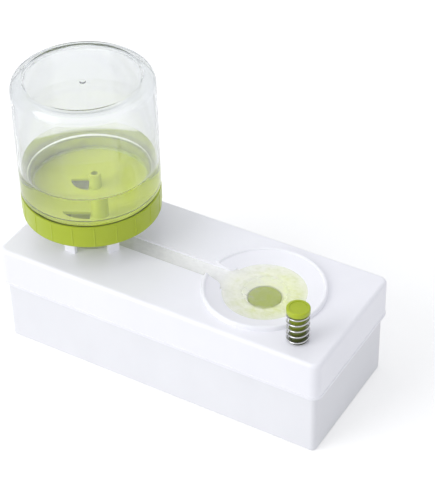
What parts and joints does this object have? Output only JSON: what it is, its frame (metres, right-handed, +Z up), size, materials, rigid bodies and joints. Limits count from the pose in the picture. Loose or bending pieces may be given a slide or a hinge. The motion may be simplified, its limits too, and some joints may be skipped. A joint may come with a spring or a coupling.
{
  "type": "brush washer",
  "caption": "Brush washer: an upturned clear jar feeds a round rinsing dish by a channel; a sprung button lifts the drain plug over the waste tank.",
  "frame": {"origin": "middle of the tank's underside, on the table", "axes": "+X along the box from the jar to the dish and button, +Y to the back, +Z up"},
  "size_m": [0.2179, 0.09, 0.1767],
  "materials": {
    "tank_plastic": "satin white",
    "cover_plastic": "satin white",
    "green_plastic": "glossy lime green",
    "plug_plastic": "satin olive green",
    "lever_plastic": "plain",
    "clear_plastic": "clear, glossy",
    "spring_steel": "bright",
    "pin_steel": "plain",
    "soft_rubber": "matt grey silicone"
  },
  "bodies": {
    "tank": {"waste_tank": "tank_plastic"},
    "cover": {"cover": "cover_plastic", "jar_posts": "cover_plastic", "lever_pin": "pin_steel"},
    "plug": {"drain_plug": "plug_plastic", "plug_seal": "soft_rubber"},
    "lever": {"lever": "lever_plastic"},
    "button": {"button": "green_plastic", "button_clip": "pin_steel", "button_spring": "spring_steel"},
    "jar_lid": {"jar_lid": "green_plastic", "lid_spout": "green_plastic", "lid_gasket": "soft_rubber"},
    "jar": {"jar": "clear_plastic"}
  },
  "joints": [
    {"name": "cover_lift", "type": "slide", "parent": "tank", "child": "cover", "axis": [0, 0, 1], "range_m": [0, 0.08]},
    {"name": "button_press", "type": "slide", "parent": "cover", "child": "button", "axis": [0, 0, -1], "range_m": [0, 0.007], "stiffness_N_per_m": 400, "springref_m": -0.002, "deforming": ["button_spring"]},
    {"name": "lever_turn", "type": "hinge", "parent": "cover", "child": "lever", "pos_m": [0.06777, -0.01388, 0.03869], "axis": [0.6092, 0.793, 0], "range_deg": [0, 17]},
    {"name": "plug_lift", "type": "slide", "parent": "cover", "child": "plug", "axis": [0, 0, 1], "range_m": [0, 0.0067]},
    {"name": "jar_lift", "type": "slide", "parent": "cover", "child": "jar_lid", "axis": [0, 0, 1], "range_m": [0, 0.06]},
    {"name": "jar_unscrew", "type": "hinge", "parent": "jar_lid", "child": "jar", "pos_m": [-0.0678, 0, 0.1], "axis": [0, 0, 1], "range_deg": [0, 450]}
  ],
  "couplings": [
    {"joint": "lever_turn", "follows": "button_press", "rad_per_m": 41.667},
    {"joint": "plug_lift", "follows": "button_press", "ratio": 0.9493}
  ]
}
